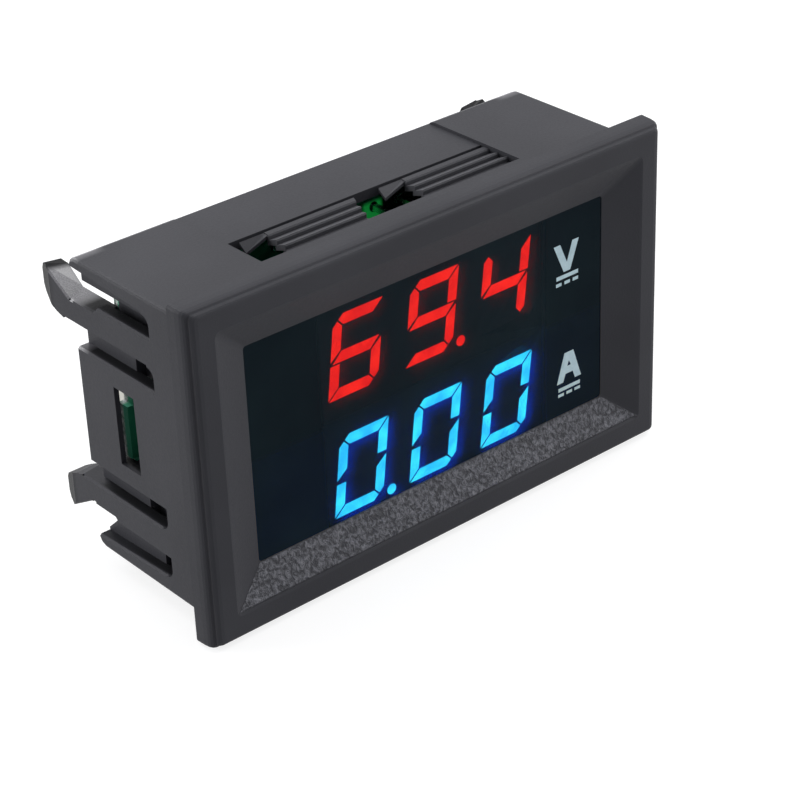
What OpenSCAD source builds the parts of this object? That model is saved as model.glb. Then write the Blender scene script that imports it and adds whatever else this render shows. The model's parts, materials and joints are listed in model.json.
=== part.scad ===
// Two-line digital panel meter for volts and amperes, with a snap-in moulded case.
// Millimetres. +X is right as seen from the front, +Y points to the rear, +Z is up.
// The origin is the centre of the panel cut-out, in the plane where the bezel meets the panel.

/* [Bezel] */
// Width of the bezel where it meets the panel
bezel_w = 48; // [47:0.5:50]
// Height of the bezel where it meets the panel
bezel_h = 29; // [28:0.5:31]
// Thickness of the bezel in front of the panel
bezel_t = 2.3; // [2:0.1:3]
// How far the outer sides lean in from the panel to the front rim
bezel_lean = 1.05; // [0.8:0.05:1.2]
// Distance from the bezel's outline to the sloped opening
rim_w = 2.55; // [2.2:0.05:2.8]

/* [Window] */
// Width of the clear window
window_w = 36.6; // [35:0.1:38]
// Height of the clear window
window_h = 18.7; // [18:0.1:19.5]
// Depth of the window behind the front rim
window_recess = 1.44; // [1.2:0.02:1.6]
// Thickness of the smoked filter sheet
filter_t = 0.5; // [0.4:0.1:0.8]

/* [Body] */
// Width of the body that passes through the panel
body_w = 45.6; // [45:0.1:46]
// Height of the body that passes through the panel
body_h = 25.8; // [25:0.1:26.5]
// Depth of the body behind the panel's front
body_d = 14.4; // [14:0.1:16]
// Thickness of the moulded walls
wall = 1.1; // [0.9:0.1:1.4]
// Depth of the shallow field across the top and the bottom
field_depth = 0.25; // [0.15:0.05:0.4]

/* [Ratchet] */
// Front edge of the ratchet slot
slot_front = 3.3; // [3:0.1:3.6]
// Rear edge of the ratchet slot
slot_rear = 7.9; // [7.7:0.1:8.4]
// Width of the slit behind the toothed flaps
slit_w = 0.4; // [0.3:0.05:0.6]
// Teeth on each flap
tooth_count = 3; // [2:1:4]
// Height of one tooth's steep face
tooth_rise = 0.4; // [0.3:0.05:0.5]

/* [Hooks] */
// Rear reach of the hooks behind the panel's front
hook_reach = 19.1; // [18.5:0.1:19.5]
// Thickness of the hook heads
head_t = 2.0; // [1.6:0.1:2.2]

/* [Digits] */
// Height of one digit
digit_h = 7.1; // [6.8:0.05:7.2]
// Width of one digit
digit_w = 4.95; // [4.7:0.05:5.1]
// Stroke of one segment
stroke = 0.92; // [0.8:0.02:1.1]
// Lean of the digits in degrees
digit_lean = 7.5; // [0:0.5:10]
// Distance between neighbouring digits
digit_pitch = 7.7; // [7.4:0.05:8]
// Distance between the two lines of digits
line_pitch = 10.5; // [10.4:0.05:10.8]

/* [Board] */
// Front face of the circuit board behind the panel's front
board_y = 10.9; // [10.5:0.1:11]
// Thickness of the circuit board
board_t = 1.2; // [1:0.1:1.6]
// Width of the board between the side walls
board_w = 42.3; // [42:0.1:42.8]
// Height of the board
board_h = 22.4; // [21:0.1:22.8]

/* [Trimmers] */
// Width of a trimmer body
trimmer_w = 4.0; // [3.5:0.1:4.5]
// Height of a trimmer body off the board
trimmer_h = 2.0; // [1.6:0.1:2.2]
// Radius of the trimmer's turning disc
rotor_r = 1.35; // [1:0.05:1.5]
// Radius of the trimmer's spindle
spindle_r = 0.6; // [0.5:0.05:0.7]
// Radial play of the spindle in its bore
spindle_play = 0.05; // [0.02:0.01:0.08]

/* [Sockets] */
// Height of the two-pin load socket off the board
load_height = 6.4; // [5.5:0.1:7]
// Height of the three-pin signal socket off the board
signal_height = 6.0; // [5:0.1:6.5]

/* [Hidden] */
$fn = 32;

eps = 0.01;

// Bezel and window
front_y = -bezel_t;
window_y = front_y + window_recess;
lip_t = 0.06;
rim_soft = 0.2;
filter_rear = window_y + filter_t;
filter_w = window_w + 1.0;
filter_h = window_h + 0.6;
pocket_play = 0.1;

// Body
inner_w = body_w - 2 * wall;
inner_h = body_h - 2 * wall;
side_x = body_w / 2;
top_z = body_h / 2;
field_w = 26.4;

// Ratchet flaps, as left and right ends in x
slot_x0 = -12.7;
slot_x1 = 13.2;
flap_rear = slot_rear - slit_w;
left_flap = [-9.8, -1.2];
right_flap = [4.0, slot_x1];
flap_groove = 1.3;
flap_t = 0.55;
flap_root = 0.9;
crest_flat = 0.65;
crest_edge = 0.1;
under_shift = 0.25;
tooth_pitch = (flap_rear - slot_front - flap_groove - crest_flat) / (tooth_count - 1);
leaf_len = 2.1;
leaf_w = 0.8;

// Hook arms: slots in the side walls as [low z, high z], open to the rear
arm_y = 4.3;
arm_low = 7.05;
arm_high = 9.6;
mid_wall = 5.15;
outer_slot_front = 11.45;
outer_slot_rear = 12.0;
slot_round = 0.8;
side_window_y = [7.35, 9.95];
side_window_z = 3.4;
thin_wall = 0.45;
thin_y = 6.6;
arm_end = 11.3;
claw_high = 9.08;
claw_reach = 1.95;
claw_y = board_y + board_t + 0.1;
catch_reach = 2.6;
edge_bevel = 0.17;
body_corner = 0.25;

// Displays
display_w = 23.4;
display_h = line_pitch - 0.06;
display_d = 7.6;
display_shift = [0.3, -0.5];
voltage_z = display_shift[1] + line_pitch / 2;
current_z = display_shift[1] - line_pitch / 2;
segment_d = 1.0;
segment_gap = 0.14;
corner_cut = 0.95;
point_r = 0.46;
point_pos = [digit_w / 2 + 0.87, -digit_h / 2 + 0.3];
pin_pitch = 2.54;
pins_per_row = 6;
pin_row = 4.4;
display_pin = 0.5;
pin_tail = 0.8;

// Board
board_rear = board_y + board_t;
ear_z = [-4.1, 0.55];
neck_w = board_w - 1.1;
drill_play = 0.1;

// Places of the parts on the rear of the board, as [x, z]
mcu_at = [0.3, 4.9];
op_amp_at = [0.3, -5.6];
regulator_at = [-10.6, -8.6];
diode_at = [10.4, -8.9];
tantalum_at = [-10.6, -4.3];
voltage_trimmer_at = [-17.2, 5.4];
current_trimmer_at = [-11.6, 5.4];
load_socket_at = [15.0, 4.6];
signal_socket_at = [-16.6, -4.6];
shunt_at = [14.2, -4.3];
resistors_at = [
  [-9.9, 0.4], [-7.9, 0.4], [-12.2, 0.4],
  [6.4, -4.4], [6.4, -6.6],
  [-5.4, -4.4], [-5.4, -6.6]
];
capacitors_at = [[6.0, 3.4], [6.0, 6.2], [-5.5, 3.4], [-5.5, 6.2], [9.2, 1.4]];
chip_size = [1.25, 2.0];
chip_cap = 0.35;

// Load socket
load_pitch = 3.96;
load_size = [6.0, 8.6];
load_floor = 1.8;
load_wall = 0.75;
load_pin = 1.0;

// Signal socket
signal_pitch = 2.0;
signal_size = [4.6, 7.9];
signal_floor = 1.4;
signal_wall = 0.6;
signal_pin = 0.5;

socket_pin_front = 1.1;
socket_pin_tip = 0.8;

// Shunt
shunt_r = 0.75;
shunt_span = 8.4;
shunt_rise = 3.1;
shunt_bend = 1.6;

// Outer edge of the bezel as shares of its thickness and lean, from the front rim to the panel
bezel_corner = 0.35;
lean_ratio = 0.7;
edge_profile = [
  [1, 1], [0.987, 0.74], [0.948, 0.57], [0.89, 0.48], [0.81, 0.44],
  [0.775, 0.26], [0.7, 0.16], [0.59, 0.09], [0.39, 0.04], [0, 0]
];
field_z = body_h / 2 - field_depth;

// Board rails
rail_x = 20.85;
rail_y = 8.0;
rail_z = [4.4, 7.8];
outer_rail = 10.5;
rib_x = 19.9;
rib_y = 6.6;

// Segments that glow: the volts line reads 69.4, the amperes line 0.00
voltage_lit = [["A", "C", "D", "E", "F", "G"], ["A", "B", "C", "D", "F", "G"], ["B", "C", "F", "G"]];
zero = ["A", "B", "C", "D", "E", "F"];
current_lit = [zero, zero, zero];
all_names = ["A", "B", "C", "D", "E", "F", "G"];
function unlit(lit) = [
  for (digit = lit)
    [for (name = all_names) if (len([for (n = digit) if (n == name) n]) == 0) name]
];

// Places of the pins and legs that pass through the board
load_pins = [for (side = [-1, 1]) [load_socket_at[0], load_socket_at[1] + side * load_pitch / 2]];
signal_pins = [for (i = [-1:1]) [signal_socket_at[0], signal_socket_at[1] + i * signal_pitch]];
shunt_legs = [for (side = [-1, 1]) [shunt_at[0] + side * shunt_span / 2, shunt_at[1]]];

/* Helpers */

// Extrudes an outline drawn in x and z from y0 to y1
module along_y(y0, y1) {
  translate([0, y1, 0]) rotate([90, 0, 0]) linear_extrude(y1 - y0) children();
}

// Extrudes an outline drawn in y and z from x0 to x1
module along_x(x0, x1) {
  translate([x0, 0, 0]) rotate([90, 0, 90]) linear_extrude(x1 - x0) children();
}

// A box centred at [x, z], standing from y0 to y1
module block(at, size, y0, y1) {
  translate([at[0] - size[0] / 2, y0, at[1] - size[1] / 2]) cube([size[0], y1 - y0, size[1]]);
}

// A round bar along y, centred at [x, z]
module bar(at, r, y0, y1) {
  translate([at[0], y1, at[1]]) rotate([90, 0, 0]) cylinder(r = r, h = y1 - y0);
}

// Mirrored copies across a plane, with the original
module both(direction) {
  children();
  mirror(direction) children();
}

// Points of a rectangle with rounded corners, in the plane at y
function rounded_ring(w, h, r, y, n = 4) = [
  for (corner = [0:3], step = [0:n])
    let (
      angle = 90 * corner + 90 * step / n,
      cx = (corner == 0 || corner == 3 ? 1 : -1) * (w / 2 - r),
      cz = (corner < 2 ? 1 : -1) * (h / 2 - r)
    )
    [cx + r * cos(angle), y, cz + r * sin(angle)]
];

// The four corners between ring i and the next, at point j, as one face or as two triangles
function skin_faces(i, j, n, split) =
  let (
    a = i * n + j,
    b = i * n + (j + 1) % n
  )
  split ? [[a, b, b + n], [a, b + n, a + n]] : [[a, b, b + n, a + n]];

// A closed skin through a list of rings, from front to rear; split where its faces twist
module loft(rings, split = false) {
  n = len(rings[0]);
  last = len(rings) - 1;
  sides = [for (i = [0:last - 1], j = [0:n - 1]) each skin_faces(i, j, n, split)];
  caps = [[for (j = [n - 1:-1:0]) j], [for (j = [0:n - 1]) last * n + j]];
  polyhedron(points = [for (ring = rings) each ring], faces = concat(sides, caps), convexity = 4);
}

/* Case */

// The bezel: the outer sides bulge, with a crease near the front, and round into the rim
module bezel_block() {
  loft([
    for (s = edge_profile)
      let (inset = 2 * bezel_lean * s[1])
      rounded_ring(bezel_w - inset, bezel_h - lean_ratio * inset, bezel_corner, -bezel_t * s[0])
  ]);
}

// The sloped funnel from the front rim down to the window
module face_funnel() {
  open_w = bezel_w - 2 * rim_w;
  open_h = bezel_h - 2 * rim_w + 0.3;
  loft([
    rounded_ring(open_w + 2 * rim_soft, open_h + 2 * rim_soft, 0.6, front_y - eps),
    rounded_ring(open_w, open_h, 0.5, front_y + 0.06),
    rounded_ring(window_w, window_h, 0.3, window_y - lip_t),
    rounded_ring(window_w, window_h, 0.3, window_y + eps)
  ]);
}

// The body, with its long edges eased and its rear edges rounded off above and below
module body_block() {
  difference() {
    loft([
      for (s = [[-eps, 0], [body_d - 0.65, 0], [body_d - 0.2, 0.18], [body_d, 0.55]])
        rounded_ring(body_w, body_h - 2 * s[1], body_corner, s[0], 2)
    ]);
    both([0, 0, 1]) block([0, top_z], [field_w, 2 * field_depth], slot_front, body_d + 1);
  }
}

// Saw-tooth outline of a ratchet flap, in y and z: steep faces look to the bezel
function ratchet_outline() =
  let (
    root_z = field_z - tooth_rise,
    first = slot_front + flap_groove
  )
  concat(
    [[slot_front - flap_root, root_z]],
    [
      for (i = [0:tooth_count - 1])
        let (y = first + i * tooth_pitch)
        each [[y, root_z], [y, field_z - crest_edge], [y + crest_edge, field_z]]
    ],
    [[flap_rear, field_z], [flap_rear, field_z - flap_t]],
    [
      for (i = [tooth_count - 1:-1:0])
        let (y = first + under_shift + i * tooth_pitch)
        each [[y, field_z - flap_t], [y, root_z - flap_t]]
    ],
    [[slot_front - flap_root, root_z - flap_t]]
  );

// One toothed flap, hinged along its front edge; ends holds its x at the left and right
module ratchet_flap(ends, right_slant) {
  intersection() {
    along_x(ends[0] - 1, ends[1] + 2) polygon(ratchet_outline());
    translate([0, 0, inner_h / 2 - 2]) linear_extrude(4) polygon([
      [ends[0] - 0.15, slot_front - 1],
      [ends[1] - right_slant, slot_front - 1],
      [ends[1] - right_slant, slot_front + flap_groove],
      [ends[1] + right_slant, flap_rear + eps],
      [ends[0] + 0.3, flap_rear + eps]
    ]);
  }
}

// Points of an outline drawn in y and z, standing at x
function ring_at(x, outline) = [for (p = outline) [x, p[0], p[1]]];

// The thin leaf that runs on from a flap, widens and dips below the surface
module flap_leaf(x) {
  loft([
    ring_at(x + 0.5, [
      [flap_rear - 0.35, field_z - 0.35],
      [flap_rear, field_z - 0.3],
      [flap_rear, field_z - 0.03],
      [flap_rear - 0.35, field_z - 0.08]
    ]),
    ring_at(x - leaf_len, [
      [flap_rear - leaf_w, field_z - 0.9],
      [flap_rear, field_z - 0.3],
      [flap_rear, field_z - 0.03],
      [flap_rear - leaf_w, field_z - 0.64]
    ])
  ], true);
}

module ratchet() {
  ratchet_flap(left_flap, 0.55);
  ratchet_flap([right_flap[0], right_flap[1] + 0.3], 0);
  flap_leaf(left_flap[0]);
  flap_leaf(right_flap[0]);
}

// Front end of a slot in a side wall, in y and z, with one rounded corner
function slot_front_end(low, high) = concat(
  [[arm_y, low]],
  [
    for (a = [180:-18:90])
      [arm_y + slot_round + slot_round * cos(a), high - slot_round + slot_round * sin(a)]
  ]
);

// Eases the outer edge of a slot from one [y, z] to another
module bevel(from, to) {
  c = edge_bevel * sqrt(2);
  translate([side_x, from[0], from[1]]) rotate([atan2(to[1] - from[1], to[0] - from[0]), 0, 0])
    rotate([0, 45, 0]) translate([-c / 2, 0, -c / 2]) cube([c, norm(to - from), c]);
}

// The openings that free the hook arms, the view window between them, and the thinner wall round it
module side_openings() {
  rear = body_d + 1;
  both([0, 0, 1]) {
    along_x(side_x - wall - eps, side_x + eps) {
      polygon(concat(slot_front_end(mid_wall, arm_low), [[rear, arm_low], [rear, mid_wall]]));
      polygon(concat(slot_front_end(arm_high, outer_slot_front), [
        [rear, outer_slot_rear],
        [rear, claw_high],
        [arm_end + 0.4, claw_high],
        [arm_end - 0.1, arm_high]
      ]));
    }
    bevel([arm_y, mid_wall], [rear, mid_wall]);
    bevel([arm_y + slot_round, arm_low], [rear, arm_low]);
    bevel([arm_y, arm_high], [arm_end, arm_high]);
    bevel([arm_y + slot_round, outer_slot_front], [rear, outer_slot_rear]);
    bevel([side_window_y[0], side_window_z], [side_window_y[1], side_window_z]);
  }
  along_x(side_x - wall - eps, side_x + eps)
    translate([side_window_y[0], -side_window_z])
    square([side_window_y[1] - side_window_y[0], 2 * side_window_z]);
  translate([side_x - wall - eps, thin_y, -rail_z[0] + 0.1])
    cube([wall - thin_wall + eps, rear - thin_y, 2 * rail_z[0] - 0.2]);
}

// Outer and inner outline of a barbed head, in y from its rear end and z from the arm's low edge
head_high = claw_high - arm_low;
head_outer = [
  [-4.2, 0], [-3.1, 0], [-2.2, 0.25], [-1.2, 0.7], [-0.35, 1.2],
  [0, 1.7], [0, 3.1], [-0.35, 3.65], [-1.0, 3.9], [-4.2, head_high]
];
head_inner = [
  [-3.1, 0], [-2.7, 0.08], [-2.0, 0.3], [-1.2, 0.7], [-0.35, 1.2],
  [0, 1.7], [0, 2.8], [-0.35, 3.4], [-1.35, 3.35], [-3.1, head_high]
];
function placed(outline) = [for (p = outline) [hook_reach + p[0], arm_low + p[1]]];

// A hook: claw block beside the board, catch behind the board, and barbed head
module hook() {
  difference() {
    union() {
      translate([side_x - claw_reach, arm_end, arm_low])
        cube([claw_reach, hook_reach - 3.1 - arm_end, head_high]);
      translate([side_x - catch_reach, claw_y, arm_low]) cube([catch_reach, 1.0, 1.0]);
      loft([
        ring_at(side_x, placed(head_outer)),
        ring_at(side_x - head_t, placed(head_inner))
      ], true);
    }
    translate([side_x, hook_reach - 1.55, arm_low - 2]) rotate([0, 0, 17]) cube([2, 3, 8]);
    bevel([arm_end + 0.4, claw_high], [hook_reach - 4.2, claw_high]);
    bevel([arm_end, arm_low], [hook_reach - 3.1, arm_low]);
    bevel([hook_reach - 4.2, claw_high], [hook_reach - 1.0, arm_low + 3.9]);
  }
}

// Ribs and rails beside the board: the ribs carry its front face, the lower rails have a cut corner
module board_rails() {
  back = side_x - wall + 0.1;
  floor_z = inner_h / 2 + 0.1;
  for (side = [-1, 1]) mirror([0, 0, side < 0 ? 1 : 0]) {
    translate([rib_x, rib_y, rail_z[0]])
      cube([rail_x + 0.1 - rib_x, board_y - rib_y, floor_z - rail_z[0]]);
    translate([rail_x, rail_y, rail_z[0]])
      cube([back - rail_x, body_d - rail_y, arm_low - 0.1 - rail_z[0]]);
    translate([rail_x, rail_y, rail_z[0]])
      cube([back - 0.3 - rail_x, arm_end - 0.2 - rail_y, rail_z[1] - rail_z[0]]);
    along_x(rail_x, back) polygon([
      [rib_y, floor_z],
      [rib_y, outer_rail],
      [body_d - (side < 0 ? 1.3 : 0), outer_rail],
      [body_d, outer_rail + (side < 0 ? 1.2 : 0)],
      [body_d, floor_z]
    ]);
  }
}

module case() {
  color("#4a4b50") {
    difference() {
      union() {
        bezel_block();
        body_block();
      }
      face_funnel();
      along_y(window_y, filter_rear + eps)
        square([filter_w + 2 * pocket_play, filter_h + 2 * pocket_play], center = true);
      along_y(filter_rear, body_d + 1) square([inner_w, inner_h], center = true);
      both([0, 0, 1]) translate([slot_x0, slot_front, inner_h / 2 - eps])
        cube([slot_x1 - slot_x0, slot_rear - slot_front, wall + 1]);
      both([1, 0, 0]) side_openings();
    }
    both([0, 0, 1]) ratchet();
    both([1, 0, 0]) {
      both([0, 0, 1]) hook();
      board_rails();
    }
  }
}

module window_filter() {
  color("#10202a") along_y(window_y, filter_rear)
    square([filter_w, filter_h], center = true);
}

/* Displays */

// Segment outlines of one digit, centred, before the digit leans; D, E and F are A, B and C turned
function segment(name) =
  let (
    w = digit_w / 2,
    h = digit_h / 2,
    t = stroke,
    g = segment_gap,
    d = segment_gap * 0.7,
    k = corner_cut
  )
  name == "A" ? [
    [-w + k, h], [w - d, h], [w - t - d, h - t], [-w + t + d, h - t],
    [-w + (k + d) / 2, h - (k - d) / 2]
  ] :
  name == "B" ? [[w, h - d], [w, t / 2 + g], [w - t, t / 2 + g], [w - t, h - t - d]] :
  name == "C" ? [
    [w, t / 2 - 2 * d], [w, -h + k], [w - (k - d) / 2, -h + (k + d) / 2],
    [w - t, -h + t + d], [w - t, -t / 2 - d]
  ] :
  name == "G" ? [[-w + t + d, t / 2], [w - 2 * d, t / 2], [w - t - d, -t / 2], [-w + 2 * d, -t / 2]] :
  name == "D" ? [for (p = segment("A")) -p] :
  name == "E" ? [for (p = segment("B")) -p] :
  [for (p = segment("C")) -p];

// Leans a point of a digit to the right as it rises
function lean(p) = [p[0] + p[1] * tan(digit_lean), p[1]];

function digit_x(i) = display_shift[0] + (i - 1) * digit_pitch;

// The chosen segments of one line, as prisms from y0 to y1; lit lists each digit's segments
module segments(line_z, lit, y0, y1) {
  for (i = [0:2]) translate([digit_x(i), 0, line_z])
    for (name = lit[i]) along_y(y0, y1) polygon([for (p = segment(name)) lean(p)]);
}

// The chosen decimal points of one line
module points(line_z, digits, y0, y1) {
  for (i = digits)
    bar([digit_x(i) + lean(point_pos)[0], line_z + point_pos[1]], point_r, y0, y1);
}

module display_body(line_z) {
  all = [all_names, all_names, all_names];
  color("#15181c") difference() {
    block([display_shift[0], line_z], [display_w, display_h], filter_rear, filter_rear + display_d);
    segments(line_z, all, filter_rear - eps, filter_rear + segment_d);
    points(line_z, [0, 1, 2], filter_rear - eps, filter_rear + segment_d);
  }
}

module display_pins(line_z) {
  y0 = filter_rear + display_d;
  color("#c9ccd0") for (i = [0:pins_per_row - 1], side = [-1, 1])
    block(pin_at(line_z, i, side), [display_pin, display_pin], y0, board_rear + pin_tail);
}

function pin_at(line_z, i, side) =
  [display_shift[0] + (i - (pins_per_row - 1) / 2) * pin_pitch, line_z + side * pin_row];

module voltage_display_body() { display_body(voltage_z); }
module current_display_body() { display_body(current_z); }
module voltage_display_pins() { display_pins(voltage_z); }
module current_display_pins() { display_pins(current_z); }

module lit_parts(tint, line_z, lit) {
  color(tint) segments(line_z, lit, filter_rear, filter_rear + segment_d);
}

module point_parts(tint, line_z, digits) {
  color(tint) points(line_z, digits, filter_rear, filter_rear + segment_d);
}

module voltage_segments_lit() { lit_parts("#ff2010", voltage_z, voltage_lit); }
module voltage_segments_unlit() { lit_parts("#2a2c33", voltage_z, unlit(voltage_lit)); }
module voltage_points_lit() { point_parts("#ff2010", voltage_z, [1]); }
module voltage_points_unlit() { point_parts("#2a2c33", voltage_z, [0, 2]); }
module current_segments_lit() { lit_parts("#38c8ff", current_z, current_lit); }
module current_segments_unlit() { lit_parts("#2a2c33", current_z, unlit(current_lit)); }
module current_points_lit() { point_parts("#38c8ff", current_z, [0]); }
module current_points_unlit() { point_parts("#2a2c33", current_z, [1, 2]); }

/* Board */

module drill(at, r) {
  bar(at, r, board_y - 1, board_rear + 1);
}

// Every drilled hole: display pins, sockets and shunt
module board_holes() {
  for (line_z = [voltage_z, current_z], i = [0:pins_per_row - 1], side = [-1, 1])
    drill(pin_at(line_z, i, side), display_pin / 2 * sqrt(2) + drill_play);
  for (at = load_pins) drill(at, load_pin / 2 * sqrt(2) + drill_play);
  for (at = signal_pins) drill(at, signal_pin / 2 * sqrt(2) + drill_play);
  for (at = shunt_legs) drill(at, shunt_r + drill_play);
}

module main_board() {
  color("#1d6b3c") difference() {
    union() {
      along_y(board_y, board_rear) square([neck_w, board_h], center = true);
      translate([-board_w / 2, board_y, ear_z[0]]) cube([board_w, board_t, ear_z[1] - ear_z[0]]);
    }
    board_holes();
  }
}

// A tapered fillet of solder round a pin, standing off the board's rear or its front
module fillet(at, r, height, rear = true) {
  translate([at[0], rear ? board_rear : board_y, at[1]]) rotate([rear ? -90 : 90, 0, 0])
    cylinder(r1 = r, r2 = r * 0.45, h = height);
}

module solder_joints() {
  color("#b9bdc2") {
    for (line_z = [voltage_z, current_z], i = [0:pins_per_row - 1], side = [-1, 1])
      difference() {
        fillet(pin_at(line_z, i, side), 0.72, 0.6);
        block(pin_at(line_z, i, side), [display_pin, display_pin], board_rear - 1, board_rear + 2);
      }
    for (at = load_pins) difference() {
      fillet(at, 1.3, 0.9, false);
      block(at, [load_pin, load_pin], board_y - 2, board_y + 1);
    }
    for (at = signal_pins) difference() {
      fillet(at, 0.75, 0.8, false);
      block(at, [signal_pin, signal_pin], board_y - 2, board_y + 1);
    }
    for (at = shunt_legs) difference() {
      fillet(at, 1.2, 0.9, false);
      bar(at, shunt_r, board_y - 2, board_y + 1);
    }
  }
}

/* Chips */

// A moulded chip body with a dot mark sunk beside its first lead
module chip_body(at, size, y0, y1) {
  top = board_rear + y1;
  color("#1b1c1f") difference() {
    block(at, size, board_rear + y0, top);
    bar([at[0] - size[0] / 2 + 0.7, at[1] - size[1] / 2 + 0.7], 0.28, top - 0.08, top + 1);
  }
}

// Gull-wing leads along both long sides of a chip
module gull_leads(at, count, pitch, lead_w, body_half, foot, shoulder) {
  color("#c9ccd0") for (i = [0:count - 1], side = [-1, 1])
    translate([at[0] + (i - (count - 1) / 2) * pitch, board_rear, at[1]])
      mirror([0, 0, side < 0 ? 1 : 0])
      along_x(-lead_w / 2, lead_w / 2) polygon([
        [shoulder, body_half],
        [shoulder, body_half + 0.35],
        [0.16, body_half + 0.5],
        [0.16, body_half + foot],
        [0, body_half + foot],
        [0, body_half + 0.38],
        [shoulder - 0.16, body_half + 0.22],
        [shoulder - 0.16, body_half]
      ]);
}

module microcontroller_body() { chip_body(mcu_at, [6.5, 4.4], 0.1, 1.05); }
module microcontroller_leads() { gull_leads(mcu_at, 10, 0.65, 0.24, 2.2, 1.0, 0.6); }
module op_amp_body() { chip_body(op_amp_at, [4.9, 3.9], 0.15, 1.6); }
module op_amp_leads() { gull_leads(op_amp_at, 4, 1.27, 0.42, 1.95, 1.05, 0.9); }

module regulator_body() {
  color("#1b1c1f") block(regulator_at, [4.5, 2.5], board_rear + 0.35, board_rear + 1.5);
}

module regulator_leads() {
  top = board_rear + 0.35;
  color("#c9ccd0") {
    for (i = [-1:1])
      block([regulator_at[0] + 1.5 * i, regulator_at[1] - 1.35], [0.45, 1.5], board_rear, top);
    block([regulator_at[0], regulator_at[1] + 1.0], [1.7, 1.6], board_rear, top);
  }
}

module diode_body() {
  color("#1b1c1f") block(diode_at, [4.3, 2.6], board_rear + 0.15, board_rear + 2.1);
}

module tabs(at, half, width, height) {
  color("#c9ccd0") for (side = [-1, 1])
    translate([at[0], board_rear, at[1] - width / 2]) mirror([side < 0 ? 1 : 0, 0, 0])
    linear_extrude(width) polygon([
      [half - 0.9, 0],
      [half + 0.35, 0],
      [half + 0.35, 0.6],
      [half + 0.15, height],
      [half, height],
      [half, 0.15],
      [half - 0.9, 0.15]
    ]);
}

module diode_tabs() { tabs(diode_at, 2.15, 1.4, 1.1); }

module tantalum_capacitor_body() {
  color("#d9a520") block(tantalum_at, [3.5, 2.8], board_rear + 0.15, board_rear + 1.9);
}

module tantalum_capacitor_tabs() { tabs(tantalum_at, 1.75, 2.2, 1.0); }

module chips(places, length, height) {
  for (at = places) block(at, [chip_size[0], length], board_rear, board_rear + height);
}

module chip_resistors() { color("#22232a") chips(resistors_at, chip_size[1] - 2 * chip_cap, 0.5); }
module chip_capacitors() { color("#b08a5c") chips(capacitors_at, chip_size[1] - 2 * chip_cap, 0.8); }

module chip_end_caps() {
  kinds = [[resistors_at, 0.55], [capacitors_at, 0.85]];
  reach = (chip_size[1] - chip_cap) / 2;
  color("#d5d7da") for (kind = kinds, at = kind[0], side = [-1, 1])
    block([at[0], at[1] + side * reach], [chip_size[0], chip_cap], board_rear, board_rear + kind[1]);
}

/* Trimmers */

module trimmer_body(at) {
  color("#2f66c8") difference() {
    block(at, [trimmer_w, trimmer_w + 0.4], board_rear + 0.15, board_rear + trimmer_h);
    bar(at, rotor_r + 0.15, board_rear + trimmer_h - 0.55, board_rear + trimmer_h + 1);
    bar(at, spindle_r + spindle_play, board_rear + 0.6, board_rear + trimmer_h);
  }
}

// The disc and spindle, with a cross for a screwdriver
module trimmer_rotor(at) {
  top = board_rear + trimmer_h + 0.25;
  color("#d8dadd") difference() {
    union() {
      bar(at, rotor_r, board_rear + trimmer_h - 0.5, top);
      bar(at, spindle_r, board_rear + 0.7, board_rear + trimmer_h);
    }
    block(at, [2 * rotor_r - 0.5, 0.4], top - 0.4, top + 1);
    block(at, [0.4, 2 * rotor_r - 0.5], top - 0.4, top + 1);
  }
}

module trimmer_tabs(at) {
  reach = trimmer_w / 2 + 0.35;
  color("#c9ccd0") {
    for (side = [-1, 1])
      block([at[0] + side * 1.2, at[1] - reach], [0.8, 0.9], board_rear, board_rear + 0.15);
    block([at[0], at[1] + reach], [1.6, 0.9], board_rear, board_rear + 0.15);
  }
}

module voltage_trimmer_body() { trimmer_body(voltage_trimmer_at); }
module voltage_trimmer_rotor() { trimmer_rotor(voltage_trimmer_at); }
module voltage_trimmer_tabs() { trimmer_tabs(voltage_trimmer_at); }
module current_trimmer_body() { trimmer_body(current_trimmer_at); }
module current_trimmer_rotor() { trimmer_rotor(current_trimmer_at); }
module current_trimmer_tabs() { trimmer_tabs(current_trimmer_at); }

/* Shunt and sockets */

// A heavy wire bridge on two legs
module shunt_wire() {
  top = board_rear + shunt_rise;
  color("#b5793f") {
    for (side = [-1, 1]) {
      bar([shunt_at[0] + side * shunt_span / 2, shunt_at[1]], shunt_r, board_y - 1.1, top - shunt_bend);
      translate([shunt_at[0] + side * (shunt_span / 2 - shunt_bend), top - shunt_bend, shunt_at[1]])
        mirror([side < 0 ? 1 : 0, 0, 0])
        rotate_extrude(angle = 90) translate([shunt_bend, 0]) circle(r = shunt_r);
    }
    translate([shunt_at[0] - shunt_span / 2 + shunt_bend, top, shunt_at[1]]) rotate([0, 90, 0])
      cylinder(r = shunt_r, h = shunt_span - 2 * shunt_bend);
  }
}

// An open-topped socket box; keys are slots in its inner wall
module socket_housing(at, size, height, floor_t, wall_t, pins, pin_size, key_w) {
  floor_y = board_rear + floor_t;
  top = board_rear + height;
  key_x = at[0] - size[0] / 2;
  color("#ece9e0") difference() {
    block(at, size, board_rear, top);
    block(at, [size[0] - 2 * wall_t, size[1] - 2 * wall_t], floor_y, top + 1);
    for (pin = pins) block(pin, [pin_size, pin_size], board_rear - 1, floor_y + 1);
    for (side = [-1, 1])
      block([key_x, at[1] + side * size[1] / 4], [2.5 * wall_t, key_w], floor_y + 0.8, top + 1);
  }
}

module socket_pins(pins, size, tip) {
  color("#d8d9d4") for (pin = pins) {
    block(pin, [size, size], board_y - socket_pin_front, board_rear + tip);
  }
}

module load_socket_housing() {
  socket_housing(
    load_socket_at, load_size, load_height, load_floor, load_wall,
    load_pins, load_pin, 1.4
  );
}

module load_socket_pins() { socket_pins(load_pins, load_pin, load_height - socket_pin_tip); }

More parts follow.
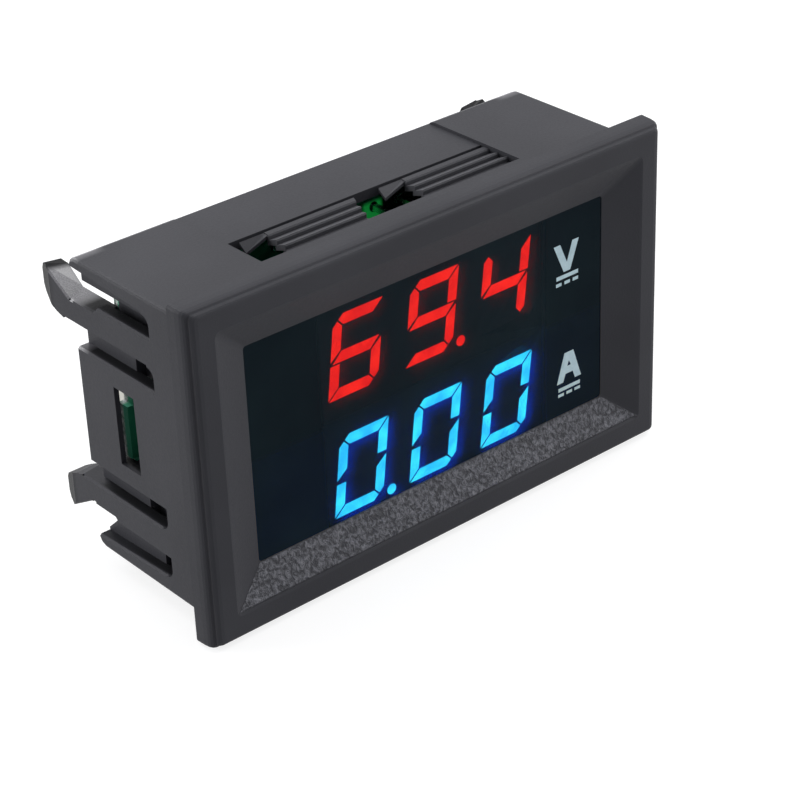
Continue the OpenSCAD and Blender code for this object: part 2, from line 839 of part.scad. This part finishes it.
module signal_socket_housing() {
  socket_housing(
    signal_socket_at, signal_size, signal_height, signal_floor, signal_wall,
    signal_pins, signal_pin, 1.0
  );
}

module signal_socket_pins() { socket_pins(signal_pins, signal_pin, signal_height - socket_pin_tip); }

case();
window_filter();
voltage_display_body();
voltage_segments_lit();
voltage_segments_unlit();
voltage_points_lit();
voltage_points_unlit();
voltage_display_pins();
current_display_body();
current_segments_lit();
current_segments_unlit();
current_points_lit();
current_points_unlit();
current_display_pins();
main_board();
solder_joints();
microcontroller_body();
microcontroller_leads();
op_amp_body();
op_amp_leads();
regulator_body();
regulator_leads();
diode_body();
diode_tabs();
tantalum_capacitor_body();
tantalum_capacitor_tabs();
chip_resistors();
chip_capacitors();
chip_end_caps();
voltage_trimmer_body();
voltage_trimmer_rotor();
voltage_trimmer_tabs();
current_trimmer_body();
current_trimmer_rotor();
current_trimmer_tabs();
shunt_wire();
load_socket_housing();
load_socket_pins();
signal_socket_housing();
signal_socket_pins();
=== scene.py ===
"""Two-line digital panel meter: materials, unit marks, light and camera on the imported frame."""
import json
import math

import bmesh
import bpy
from mathutils import Matrix, Vector


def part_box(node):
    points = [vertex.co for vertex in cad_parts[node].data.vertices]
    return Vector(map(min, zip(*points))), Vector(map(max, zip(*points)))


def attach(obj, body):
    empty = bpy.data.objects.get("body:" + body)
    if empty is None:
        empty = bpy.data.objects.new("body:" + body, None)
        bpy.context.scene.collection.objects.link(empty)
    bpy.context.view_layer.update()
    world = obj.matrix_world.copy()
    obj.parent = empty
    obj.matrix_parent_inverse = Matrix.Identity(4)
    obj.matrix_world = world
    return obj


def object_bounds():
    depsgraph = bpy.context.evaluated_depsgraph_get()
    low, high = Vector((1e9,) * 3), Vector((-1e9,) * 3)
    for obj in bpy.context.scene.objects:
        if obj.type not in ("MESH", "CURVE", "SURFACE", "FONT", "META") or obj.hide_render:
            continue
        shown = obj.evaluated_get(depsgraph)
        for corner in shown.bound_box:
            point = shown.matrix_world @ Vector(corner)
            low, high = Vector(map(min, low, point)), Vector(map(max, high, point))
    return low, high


MM = 0.001
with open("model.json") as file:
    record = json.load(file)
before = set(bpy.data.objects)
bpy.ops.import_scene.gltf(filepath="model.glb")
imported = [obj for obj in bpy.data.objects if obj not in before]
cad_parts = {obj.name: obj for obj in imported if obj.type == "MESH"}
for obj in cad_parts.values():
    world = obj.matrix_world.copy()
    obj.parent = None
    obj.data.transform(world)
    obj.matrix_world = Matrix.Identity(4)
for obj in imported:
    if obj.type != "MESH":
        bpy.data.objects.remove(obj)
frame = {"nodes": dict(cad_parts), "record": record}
cad_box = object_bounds()
nodes = frame["nodes"]
scene = bpy.context.scene


# Places on the meter, in millimetres. A pair is where a fade starts and where it is complete,
# or the two ends of a zone.

def corners(node):
    """A node's lowest and highest corners in millimetres."""
    low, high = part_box(node)
    return low / MM, high / MM


case_low, case_high = corners("case")
board_low, board_high = corners("main_board")
upper_low, upper_high = corners("voltage_display_body")
lower_high = corners("current_display_body")[1]
window_low = corners("window_filter")[0]

# Coarse slope below the window: from the rim up to the sheet, in front of the sheet's face
SLOPE_Z = (case_low.z + 2.55, window_low.z + 0.27)
SLOPE_Y = (window_low.y + 0.06, window_low.y)
MITRE_RUN = 1.21  # half width that its mitred ends add for each millimetre down
MITRE_REACH = 7.0  # its half width, carried up to z = 0

# Ledges in the side slots, painted darker as shade
LEDGE_X = (case_high.x - 5.0, case_high.x - 1.5)
LEDGE_Y = (2.5, 13.6)
LEDGE_Z = (board_high.z + 0.8, board_high.z + 0.4)

# Ratchet flaps in the top, painted lighter to soften the shade on their teeth
FLAP_X = (-9.8, 13.1)
FLAP_Y = (3.4, 7.5)
FLAP_LOW_Z = (11.0, 11.3)
FLAP_HIGH_Z = (12.66, 12.6)

# Hook heads behind the body: painted shade on their backs, and on the upward slopes of the upper
# ones a polish with a painted highlight
HOOK_X = (case_high.x - 4.0, case_high.x - 3.0)
HOOK_Y = (case_high.y - 6.1, case_high.y - 4.6)
HOOK_BACK_Y = (case_high.y - 2.1, case_high.y - 1.1)
POLISH_HIGHLIGHT_END_Y = (case_high.y - 1.3, case_high.y - 1.7)
POLISH_HIGHLIGHT_Z = (0.0, 1.0)

# Window sheet: clear over the two display rows and printed dark beside them
DISPLAY_X = (upper_low.x + upper_high.x) / 2
DISPLAY_HALF = (upper_high.x - upper_low.x) / 2
BORDER_X = (DISPLAY_HALF - 0.2, DISPLAY_HALF + 0.2)
ROW_SPLIT = (upper_low.z + lower_high.z) / 2
ROW_SPLIT_Z = (ROW_SPLIT + 0.2, ROW_SPLIT - 0.2)
INK_RISE = 0.02

# Circuit board, seen through the slots and the hole between the flaps
BOARD_CORE_Y = (board_low.y + 0.55, board_low.y + 0.85)
# Top of the board's front: where a painted shade starts and its span across, then a painted pool of
# light
BOARD_TOP_Z = (board_high.z - 4.2, board_high.z - 3.8)
BOARD_SHADE_X = (4.9, 12.0)
LIGHT_POOL_X = (3.0, 4.9)
LIGHT_POOL_Z = (board_high.z - 3.4, board_high.z - 1.6)

# Soft boxes: square, turned to LIGHT_AIM; place in millimetres and power in watts
LIGHT_AIM = (0, 5, 0)
LIGHT_SIZE = 260
LIGHTS = {
    "rear_box": ((0, 320, 320), 0.98),
    "top_box": ((252, -45, 370), 0.78),
    "front_box": ((320, -320, 60), 0.76),
    "right_box": ((450, 0, 60), 0.8),
    "left_box": ((-320, 320, 120), 1.3),
}
WORLD_COLOUR = (0.92, 0.95, 1.0)
WORLD_STRENGTH = 0.43
FLOOR_HALF = 3000
FLOOR_DROP = 0.1  # gap between the part and the floor
FLOOR_GLOW = 0.80  # emission strength for rays that see the surround

# Camera: degrees, then millimetres
CAMERA_TURN = (39.586, 29.823, -2.316)  # azimuth, elevation, roll
CAMERA_AIM = (3.3923, 7.6861, -7.3139)
CAMERA_DISTANCE = 196.983
CAMERA_LENS = 106.29
CAMERA_SENSOR = 36.0

CASE_DARK = (0.040, 0.040, 0.046)
CASE_LIGHT = (0.050, 0.050, 0.057)


# Materials

class Nodes:
    """A builder for one material's node tree. Its methods return output sockets."""

    def __init__(self, name):
        self.mat = bpy.data.materials.new(name)
        self.mat.use_nodes = True
        self.tree = self.mat.node_tree
        self.tree.nodes.clear()
        self.out = self.add("ShaderNodeOutputMaterial")

    def add(self, kind, **sets):
        """A new node with its properties set."""
        node = self.tree.nodes.new(kind)
        for key, value in sets.items():
            setattr(node, key, value)
        return node

    def link(self, a, b):
        self.tree.links.new(a, b)

    def coords(self):
        """Object coordinates, which move with the piece."""
        return self.add("ShaderNodeTexCoord").outputs["Object"]

    def noise(self, scale, detail=2.0, rough=0.5, distortion=0.0):
        """Noise around 0.5; the scale is in cycles per metre."""
        n = self.add("ShaderNodeTexNoise")
        n.inputs["Scale"].default_value = scale
        n.inputs["Detail"].default_value = detail
        n.inputs["Roughness"].default_value = rough
        n.inputs["Distortion"].default_value = distortion
        self.link(self.coords(), n.inputs["Vector"])
        return n.outputs["Fac"]

    def span(self, value, lo, hi, to_lo=0.0, to_hi=1.0):
        """A straight ramp from lo..hi to to_lo..to_hi, held at its ends."""
        n = self.add("ShaderNodeMapRange")
        n.inputs["From Min"].default_value = lo
        n.inputs["From Max"].default_value = hi
        n.inputs["To Min"].default_value = to_lo
        n.inputs["To Max"].default_value = to_hi
        self.link(value, n.inputs["Value"])
        return n.outputs["Result"]

    def math(self, op, a, b=0.5):
        """One math operation on sockets or numbers."""
        n = self.add("ShaderNodeMath", operation=op)
        for socket, value in ((n.inputs[0], a), (n.inputs[1], b)):
            if isinstance(value, (int, float)):
                socket.default_value = value
            else:
                self.link(value, socket)
        return n.outputs[0]

    def mix(self, fac, a, b):
        """Colour a where the factor is 0, and b where it is 1."""
        n = self.add("ShaderNodeMix", data_type="RGBA")
        for socket, value in ((n.inputs["Factor"], fac), (n.inputs[6], a), (n.inputs[7], b)):
            if isinstance(value, (int, float)):
                socket.default_value = value
            elif isinstance(value, tuple):
                socket.default_value = (*value, 1.0)
            else:
                self.link(value, socket)
        return n.outputs[2]

    def axis(self, which):
        """One object coordinate, in metres."""
        s = self.add("ShaderNodeSeparateXYZ")
        self.link(self.coords(), s.inputs[0])
        return s.outputs[which]

    def facing(self, which):
        """One component of the surface's own direction."""
        s = self.add("ShaderNodeSeparateXYZ")
        self.link(self.add("ShaderNodeNewGeometry").outputs["True Normal"], s.inputs[0])
        return s.outputs[which]

    def past(self, value, edge):
        """0 to 1 as the value goes from the first to the second place of a pair in millimetres."""
        return self.span(value, edge[0] * MM, edge[1] * MM)

    def within(self, value, ends, soft=0.1):
        """1 between two places in millimetres, fading over a soft edge."""
        lo, hi = ends
        rise = self.past(value, (lo - soft, lo + soft))
        fall = self.past(value, (hi + soft, hi - soft))
        return self.math("MULTIPLY", rise, fall)

    def all_of(self, *values):
        """The product of several 0 to 1 values."""
        total = values[0]
        for value in values[1:]:
            total = self.math("MULTIPLY", total, value)
        return total

    def bump(self, height, strength, distance, normal=None):
        """A bumped normal, laid over another one if it is given."""
        n = self.add("ShaderNodeBump")
        n.inputs["Strength"].default_value = strength
        n.inputs["Distance"].default_value = distance
        self.link(height, n.inputs["Height"])
        if normal is not None:
            self.link(normal, n.inputs["Normal"])
        return n.outputs["Normal"]

    def principled(self, **inputs):
        """The surface shader, from numbers, colours or sockets by input name."""
        n = self.add("ShaderNodeBsdfPrincipled")
        for key, value in inputs.items():
            socket = n.inputs[key.replace("_", " ")]
            if isinstance(value, (int, float)):
                socket.default_value = value
            elif isinstance(value, tuple):
                socket.default_value = (*value, 1.0)
            else:
                self.link(value, socket)
        self.link(n.outputs["BSDF"], self.out.inputs["Surface"])


def slope_zone(m):
    """The slope below the window, which has mitred ends."""
    half = m.math("ADD", m.math("ABSOLUTE", m.axis("X")), m.math("MULTIPLY", m.axis("Z"), MITRE_RUN))
    mitre = m.past(half, (MITRE_REACH, MITRE_REACH - 0.1))
    return m.all_of(m.within(m.axis("Z"), SLOPE_Z, 0.06), m.past(m.axis("Y"), SLOPE_Y), mitre)


def ledge_shade_zone(m):
    """Level faces inside the side slots, which get a painted shade."""
    return m.all_of(
        m.within(m.math("ABSOLUTE", m.axis("X")), LEDGE_X, 0.08),
        m.within(m.axis("Y"), LEDGE_Y, 0.3),
        m.span(m.math("ABSOLUTE", m.facing("Z")), 0.6, 0.8),
        m.past(m.math("ABSOLUTE", m.axis("Z")), LEDGE_Z),
    )


def flap_light_zone(m):
    """The toothed ratchet flaps in the top, which get painted light."""
    return m.all_of(
        m.within(m.axis("Y"), FLAP_Y),
        m.within(m.axis("X"), FLAP_X),
        m.past(m.axis("Z"), FLAP_LOW_Z),
        m.past(m.axis("Z"), FLAP_HIGH_Z),
    )


def polish_highlight_zone(m):
    """Upward slopes of the two upper hook heads, polished and given a painted highlight."""
    return m.all_of(
        m.past(m.axis("Y"), HOOK_Y),
        m.past(m.math("ABSOLUTE", m.axis("X")), HOOK_X),
        m.span(m.facing("Z"), 0.30, 0.45),
        m.past(m.axis("Z"), POLISH_HIGHLIGHT_Z),
        m.past(m.axis("Y"), POLISH_HIGHLIGHT_END_Y),
    )


def case_material():
    """Charcoal ABS: a fine eroded skin, a coarse slope with painted glints, painted shade on the
    slot ledges and hook backs, painted light on the flaps, and polished hook slopes with a painted
    highlight.
    """
    m = Nodes("case_abs")
    fine = m.noise(5200, 3.0, 0.65)
    grain = m.noise(2700, 2.5, 0.62, 0.5)
    broad = m.noise(90, 2.0)
    slope = slope_zone(m)
    polish_highlight = polish_highlight_zone(m)

    normal = m.bump(fine, 0.22, 0.00006)
    normal = m.bump(m.math("MULTIPLY", grain, slope), 0.8, 0.00036, normal)

    colour = m.mix(m.span(broad, 0.3, 0.7), CASE_DARK, CASE_LIGHT)
    # Painted glints: the coarse slope is lighter in colour, most on the high points of its grain
    painted_glint = m.mix(m.span(grain, 0.40, 0.68), (0.060, 0.060, 0.067), (0.19, 0.19, 0.21))
    colour = m.mix(slope, colour, painted_glint)
    # Painted shade: level faces inside the side slots are darkened
    colour = m.mix(ledge_shade_zone(m), colour, (0.014, 0.014, 0.016))
    # Painted light: the flaps are lightened so that their teeth show less shade
    colour = m.mix(m.math("MULTIPLY", flap_light_zone(m), 0.8), colour, (0.080, 0.080, 0.088))
    # Painted shade: the backs of the hook heads are darkened nearly to black
    back = m.math("MULTIPLY", m.past(m.axis("Y"), HOOK_BACK_Y), 0.95)
    colour = m.mix(back, colour, (0.005, 0.005, 0.006))
    # Painted highlight: the polished hook slopes are lightened in colour
    wear = m.math("MULTIPLY", polish_highlight, m.span(broad, 0.35, 0.60, 0.35, 0.9))
    colour = m.mix(wear, colour, (0.27, 0.26, 0.29))

    matt = m.span(fine, 0.3, 0.7, 0.42, 0.54)
    polished = m.span(fine, 0.3, 0.7, 0.22, 0.32)
    m.principled(
        Base_Color=colour,
        Roughness=m.mix(polish_highlight, matt, polished),
        Normal=normal,
        Specular_IOR_Level=m.span(polish_highlight, 0.0, 1.0, 0.10, 0.9),
    )
    return m.mat


def filter_material():
    """Smoked acrylic: dark teal, with a little scatter that gives the lit segments a halo."""
    m = Nodes("smoked_filter")
    clear = m.add("ShaderNodeBsdfTransparent")
    # A dark printed border leaves only the display area clear
    side = m.math("ABSOLUTE", m.math("SUBTRACT", m.axis("X"), DISPLAY_X * MM))
    border = m.past(side, BORDER_X)
    m.link(m.mix(border, (0.36, 0.40, 0.42), (0.02, 0.025, 0.03)), clear.inputs["Color"])
    # The rest scatters a little light: red over the upper row, blue over the lower
    haze = m.add("ShaderNodeBsdfTranslucent")
    lower = m.past(m.axis("Z"), ROW_SPLIT_Z)
    m.link(m.mix(lower, (0.20, 0.004, 0.003), (0.0, 0.09, 1.0)), haze.inputs["Color"])
    body = m.add("ShaderNodeMixShader")
    body.inputs[0].default_value = 0.13
    m.link(clear.outputs[0], body.inputs[1])
    m.link(haze.outputs[0], body.inputs[2])
    tint = m.add("ShaderNodeBsdfDiffuse")
    cloud = m.span(m.noise(140, 3.0), 0.3, 0.7)
    m.link(m.mix(cloud, (0.005, 0.011, 0.016), (0.008, 0.017, 0.022)), tint.inputs["Color"])
    both = m.add("ShaderNodeAddShader")
    m.link(body.outputs[0], both.inputs[0])
    m.link(tint.outputs[0], both.inputs[1])
    shine = m.add("ShaderNodeBsdfGlossy")
    m.link(m.span(m.noise(60, 2.0), 0.3, 0.7, 0.10, 0.16), shine.inputs["Roughness"])
    facing = m.add("ShaderNodeFresnel")
    facing.inputs["IOR"].default_value = 1.2
    out = m.add("ShaderNodeMixShader")
    m.link(m.math("MULTIPLY", facing.outputs[0], 0.25), out.inputs[0])
    m.link(both.outputs[0], out.inputs[1])
    m.link(shine.outputs[0], out.inputs[2])
    m.link(out.outputs[0], m.out.inputs["Surface"])
    return m.mat


def glow_material(name, core, edge, strength):
    """A lit segment, slightly uneven from the chip below."""
    m = Nodes(name)
    uneven = m.noise(700, 1.0)
    colour = m.mix(m.span(uneven, 0.35, 0.65), edge, core)
    power = m.span(uneven, 0.3, 0.7, 0.85 * strength, 1.1 * strength)
    m.principled(
        Base_Color=(0.02, 0.02, 0.02),
        Roughness=0.35,
        Emission_Color=colour,
        Emission_Strength=power,
    )
    return m.mat


def plastic(name, light, dark, rough=(0.35, 0.5), scale=900, bump=0.08):
    """A moulded or coated surface with slight mottling and a fine skin."""
    m = Nodes(name)
    mottle = m.noise(scale, 3.0)
    skin = m.noise(scale * 5, 2.0)
    m.principled(
        Base_Color=m.mix(m.span(mottle, 0.3, 0.7), dark, light),
        Roughness=m.span(mottle, 0.3, 0.7, *rough),
        Normal=m.bump(skin, bump, 0.00004),
    )
    return m.mat


def metal(name, light, dark, rough=(0.18, 0.35), scale=1400):
    """Plated or soldered metal with handling marks."""
    m = Nodes(name)
    marks = m.noise(scale, 4.0, 0.6)
    m.principled(
        Base_Color=m.mix(m.span(marks, 0.3, 0.7), dark, light),
        Metallic=1.0,
        Roughness=m.span(marks, 0.3, 0.7, *rough),
        Normal=m.bump(marks, 0.1, 0.00003),
    )
    return m.mat


def board_material():
    """Green solder mask with faint copper tracks below it, painted shade and a painted pool of light
    with a faint glow at the top of the front; the cut edge shows glass epoxy.
    """
    m = Nodes("board_green")
    normal = m.add("ShaderNodeSeparateXYZ")
    m.link(m.add("ShaderNodeNewGeometry").outputs["Normal"], normal.inputs[0])
    face = m.span(m.math("ABSOLUTE", normal.outputs["Y"]), 0.4, 0.6)
    front = m.span(normal.outputs["Y"], -0.4, -0.6)
    x = m.axis("X")
    z = m.axis("Z")
    cells = m.add("ShaderNodeTexVoronoi", feature="F1", distance="MANHATTAN")
    cells.inputs["Scale"].default_value = 420
    m.link(m.coords(), cells.inputs["Vector"])
    tracks = m.span(cells.outputs["Distance"], 0.42, 0.46)
    mask = m.mix(
        front,
        m.mix(tracks, (0.012, 0.125, 0.058), (0.015, 0.150, 0.070)),
        m.mix(tracks, (0.020, 0.21, 0.10), (0.030, 0.29, 0.14)),
    )
    # Top of the front: painted shade behind the ratchet, in the mask named copper, and a painted
    # pool of light with a faint glow where daylight falls in through the hole
    copper = m.all_of(front, m.within(x, BOARD_SHADE_X, 0.2), m.past(z, BOARD_TOP_Z))
    mask = m.mix(copper, mask, (0.006, 0.020, 0.014))
    # Painted light: a lighter, faintly glowing pool on the front
    painted_light_pool = m.all_of(front, m.within(x, LIGHT_POOL_X, 0.2), m.within(z, LIGHT_POOL_Z, 0.2))
    mask = m.mix(painted_light_pool, mask, (0.03, 0.60, 0.16))
    # Cut edge: green resin towards the front, pale broken fibre towards the rear
    fray = m.noise(1500, 3.0, 0.6, 1.0)
    fibre = m.mix(m.span(fray, 0.40, 0.60), (0.22, 0.30, 0.26), (0.85, 0.88, 0.86))
    edge = m.mix(m.past(m.axis("Y"), BOARD_CORE_Y), (0.05, 0.42, 0.24), fibre)
    m.principled(
        Base_Color=m.mix(face, edge, mask),
        Roughness=m.span(face, 0.0, 1.0, 0.75, 0.28),
        Normal=m.bump(tracks, 0.25, 0.00003),
        # A faint painted glow in that pool of light
        Emission_Color=(0.01, 0.40, 0.06),
        Emission_Strength=m.math("MULTIPLY", painted_light_pool, 0.3),
    )
    return m.mat


# name: lighter colour, darker colour, then roughness, scale and bump where they differ
PLASTICS = {
    "display_resin": ((0.0085, 0.010, 0.012), (0.006, 0.007, 0.009), (0.3, 0.4)),
    "segment_resin": ((0.016, 0.017, 0.021), (0.012, 0.013, 0.017), (0.3, 0.4)),
    "chip_epoxy": ((0.022, 0.022, 0.024), (0.014, 0.014, 0.016), (0.5, 0.65), 2000, 0.15),
    "tantalum_yellow": ((0.80, 0.45, 0.06), (0.70, 0.37, 0.04)),
    "resistor_black": ((0.02, 0.02, 0.026), (0.012, 0.012, 0.016), (0.15, 0.25)),
    "capacitor_brown": ((0.42, 0.26, 0.13), (0.33, 0.19, 0.09), (0.4, 0.5)),
    "trimmer_blue": ((0.05, 0.16, 0.60), (0.035, 0.12, 0.50)),
    "socket_white": ((0.82, 0.80, 0.73), (0.76, 0.74, 0.66), (0.4, 0.5)),
}
METALS = {
    "tinned": ((0.78, 0.78, 0.80), (0.62, 0.62, 0.65)),
    "solder": ((0.74, 0.75, 0.77), (0.55, 0.56, 0.58), (0.12, 0.25), 2000),
    "trimmer_metal": ((0.80, 0.80, 0.82), (0.66, 0.66, 0.70), (0.25, 0.4)),
    "shunt_metal": ((0.66, 0.45, 0.30), (0.55, 0.36, 0.23), (0.25, 0.4)),
}
MATERIALS = {
    "case_abs": case_material(),
    "smoked_filter": filter_material(),
    "red_glow": glow_material("red_glow", (1.0, 0.012, 0.003), (1.0, 0.006, 0.002), 3.2),
    "blue_glow": glow_material("blue_glow", (0.045, 0.78, 1.0), (0.03, 0.62, 1.0), 3.4),
    "board_green": board_material(),
}
for name, row in PLASTICS.items():
    MATERIALS[name] = plastic(name, *row)
for name, row in METALS.items():
    MATERIALS[name] = metal(name, *row)

slot_of = {p["node"]: p["material_slot"] for p in frame["record"]["subparts"]}
for name, obj in nodes.items():
    obj.data.materials.clear()
    obj.data.materials.append(MATERIALS[slot_of[name]])


# Unit marks printed on the window

def ink_material():
    """Pale blue-white print, slightly worn."""
    m = Nodes("window_ink")
    wear = m.noise(1800, 3.0)
    m.principled(
        Base_Color=m.mix(m.span(wear, 0.25, 0.75), (0.46, 0.62, 0.68), (0.58, 0.74, 0.80)),
        Roughness=0.55,
        Normal=m.bump(wear, 0.05, 0.00002),
    )
    return m.mat


def print_mark(name, strokes):
    """Flat ink strokes, each a polygon in x and z, just proud of the window sheet."""
    y = (window_low.y - INK_RISE) * MM
    mesh = bpy.data.meshes.new(name)
    bm = bmesh.new()
    for stroke in strokes:
        front = [bm.verts.new((x * MM, y, z * MM)) for x, z in stroke]
        face = bm.faces.new(front)
        face.normal_update()
        if face.normal.y > 0:
            face.normal_flip()
    bm.to_mesh(mesh)
    bm.free()
    obj = bpy.data.objects.new(name, mesh)
    scene.collection.objects.link(obj)
    mesh.materials.append(ink)
    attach(obj, "meter")


def rect(x0, x1, z, height):
    """A level bar from x0 to x1, centred on z."""
    low, high = z - height / 2, z + height / 2
    return [(x0, low), (x1, low), (x1, high), (x0, high)]


ink = ink_material()
print_mark("volt_mark", [
    [
        (12.95, 6.47), (13.68, 6.47), (14.43, 4.72), (15.04, 6.47),
        (15.77, 6.47), (14.8, 3.9), (14.07, 3.9),
    ],
    rect(13.25, 15.7, 3.48, 0.36),
    *[rect(x, x + 0.62, 2.89, 0.3) for x in (13.2, 14.15, 15.08)],
])
print_mark("ampere_mark", [
    [
        (13.27, -6.37), (14.0, -6.37), (14.27, -5.65), (14.47, -4.95),
        (14.66, -4.5), (14.66, -3.65), (14.15, -3.65),
    ],
    [
        (16.07, -6.37), (15.17, -3.65), (14.66, -3.65), (14.66, -4.5),
        (14.88, -4.95), (15.1, -5.65), (15.36, -6.37),
    ],
    [(14.27, -5.65), (15.1, -5.65), (14.88, -4.95), (14.47, -4.95)],
    rect(13.45, 15.95, -6.965, 0.35),
    *[rect(x, x + 0.66, -7.49, 0.28) for x in (13.42, 14.37, 15.3)],
])


# Stage

def sees_surround(tree):
    """1 for camera, glossy and transmitted rays, which meet the white surround."""
    path = tree.nodes.new("ShaderNodeLightPath")
    total = path.outputs["Is Camera Ray"]
    for ray in ("Is Glossy Ray", "Is Transmission Ray"):
        either = tree.nodes.new("ShaderNodeMath")
        either.operation = "MAXIMUM"
        tree.links.new(total, either.inputs[0])
        tree.links.new(path.outputs[ray], either.inputs[1])
        total = either.outputs[0]
    return total


def floor_material():
    """A pale floor that reads as white to the camera and throws less light back at the part."""
    m = Nodes("floor_white")
    tone = m.noise(6, 2.0)
    seen = sees_surround(m.tree)
    m.principled(
        Base_Color=m.mix(m.span(tone, 0.3, 0.7), (0.31, 0.31, 0.31), (0.33, 0.33, 0.33)),
        Roughness=0.7,
        Specular_IOR_Level=0.0,
        Emission_Color=(1.0, 1.0, 1.0),
        Emission_Strength=m.math("MULTIPLY", seen, FLOOR_GLOW),
    )
    return m.mat


floor_mesh = bpy.data.meshes.new("floor")
bm = bmesh.new()
bmesh.ops.create_grid(bm, x_segments=1, y_segments=1, size=FLOOR_HALF * MM)
bm.to_mesh(floor_mesh)
bm.free()
floor = bpy.data.objects.new("floor", floor_mesh)
floor.location = (0, 0, cad_box[0][2] - FLOOR_DROP * MM)
scene.collection.objects.link(floor)
floor_mesh.materials.append(floor_material())


def soft_box(name, place, power):
    """A square area light at a place in millimetres, turned to the part."""
    lamp = bpy.data.lights.new(name, "AREA")
    lamp.shape = "SQUARE"
    lamp.size = LIGHT_SIZE * MM
    lamp.energy = power
    obj = bpy.data.objects.new(name, lamp)
    obj.location = Vector(place) * MM
    towards = Vector(LIGHT_AIM) * MM - obj.location
    obj.rotation_euler = towards.to_track_quat("-Z", "Y").to_euler()
    scene.collection.objects.link(obj)


for name, (place, power) in LIGHTS.items():
    soft_box(name, place, power)


def background(tree, colour, strength):
    """A world background of one colour."""
    node = tree.nodes.new("ShaderNodeBackground")
    node.inputs["Color"].default_value = (*colour, 1.0)
    node.inputs["Strength"].default_value = strength
    return node.outputs[0]


def make_world():
    """Dim, slightly cool light from all round, behind a surround that is seen as white."""
    world = bpy.data.worlds.new("studio")
    world.use_nodes = True
    scene.world = world
    tree = world.node_tree
    tree.nodes.clear()
    out = tree.nodes.new("ShaderNodeOutputWorld")
    either = tree.nodes.new("ShaderNodeMixShader")
    tree.links.new(sees_surround(tree), either.inputs[0])
    tree.links.new(background(tree, WORLD_COLOUR, WORLD_STRENGTH), either.inputs[1])
    tree.links.new(background(tree, (1.0, 1.0, 1.0), 1.0), either.inputs[2])
    tree.links.new(either.outputs[0], out.inputs[0])


make_world()


# Camera

def place_camera():
    """A camera that looks at CAMERA_AIM from its azimuth and elevation, rolled a little."""
    azimuth, elevation, roll = (math.radians(a) for a in CAMERA_TURN)
    back = Vector((
        -math.sin(azimuth) * math.cos(elevation),
        -math.cos(azimuth) * math.cos(elevation),
        math.sin(elevation),
    ))
    at = (Vector(CAMERA_AIM) + back * CAMERA_DISTANCE) * MM
    level = (-back).cross(Vector((0, 0, 1))).normalized()
    upright = level.cross(-back)
    right = level * math.cos(roll) + upright * math.sin(roll)
    up = upright * math.cos(roll) - level * math.sin(roll)
    data = bpy.data.cameras.new("camera")
    data.sensor_width = CAMERA_SENSOR
    data.lens = CAMERA_LENS
    data.clip_start = 0.01
    data.clip_end = 20.0
    obj = bpy.data.objects.new("camera", data)
    obj.matrix_world = Matrix((
        (right.x, up.x, back.x, at.x),
        (right.y, up.y, back.y, at.y),
        (right.z, up.z, back.z, at.z),
        (0, 0, 0, 1),
    ))
    scene.collection.objects.link(obj)
    scene.camera = obj


place_camera()
scene.view_settings.view_transform = "Standard"
